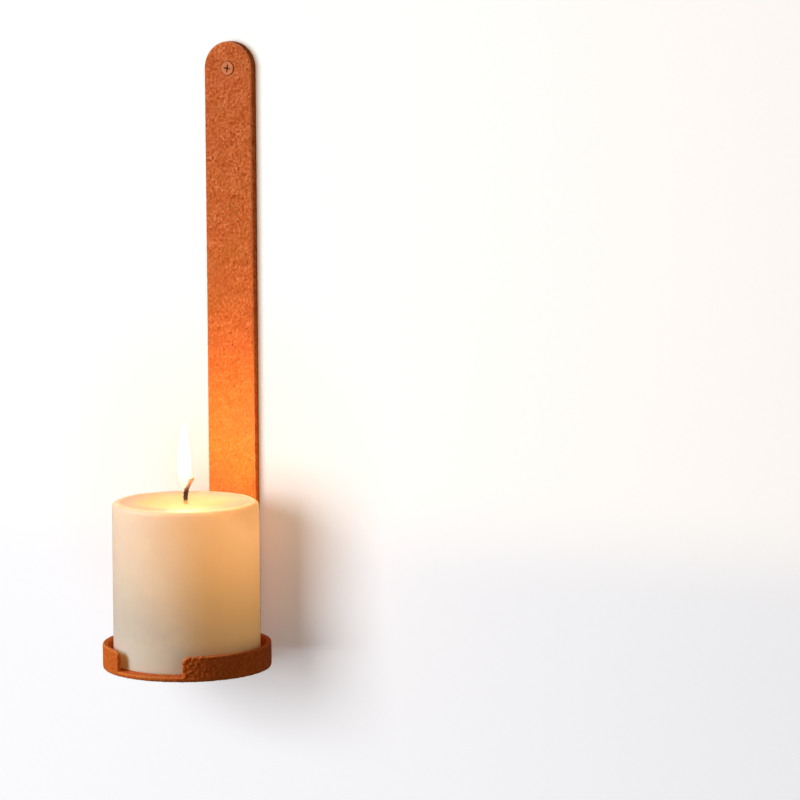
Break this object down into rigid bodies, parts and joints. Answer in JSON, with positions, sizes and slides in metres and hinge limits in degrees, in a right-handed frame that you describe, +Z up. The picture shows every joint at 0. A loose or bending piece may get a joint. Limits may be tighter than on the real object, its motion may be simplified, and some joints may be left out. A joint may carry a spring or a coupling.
{
  "type": "wall sconce candle holder",
  "caption": "Flat iron bar wall sconce with a round rimmed tray on its bent foot, a lift-out pillar candle and a countersunk wall screw in a nylon plug.",
  "frame": {"origin": "screw axis where it meets the wall, at the middle of the bar's back face", "axes": "+Z up along the bar, +Y into the wall along the screw, +X to the right of someone facing the wall"},
  "size_m": [0.0868, 0.1329, 0.3255],
  "materials": {
    "rust_coated_iron": "rough mottled rust-orange coating",
    "painted_screw": "rust-orange paint, satin",
    "nylon": "moulded grey nylon",
    "wax": "ivory wax, soft satin, translucent",
    "wick_cotton": "braided cotton, charred at the tip",
    "tinned_steel": "thin tinned sheet"
  },
  "bodies": {
    "wall_fixing": {"wall_screw": "painted_screw", "wall_plug": "nylon"},
    "sconce": {"back_bar": "rust_coated_iron", "tray_plate": "rust_coated_iron", "tray_rim": "rust_coated_iron", "rim_weld_beads": "rust_coated_iron", "foot_weld_beads": "rust_coated_iron"},
    "candle": {"candle_wax": "wax", "candle_wick": "wick_cotton", "wick_clip": "tinned_steel"}
  },
  "joints": [
    {"name": "level_swivel", "type": "hinge", "parent": "wall_fixing", "child": "sconce", "pos_m": [0, 0, 0], "axis": [0, 1, 0], "range_deg": [-8, 8]},
    {"name": "candle_lift", "type": "slide", "parent": "sconce", "child": "candle", "axis": [0, 0, 1], "range_m": [0, 0.06]}
  ]
}
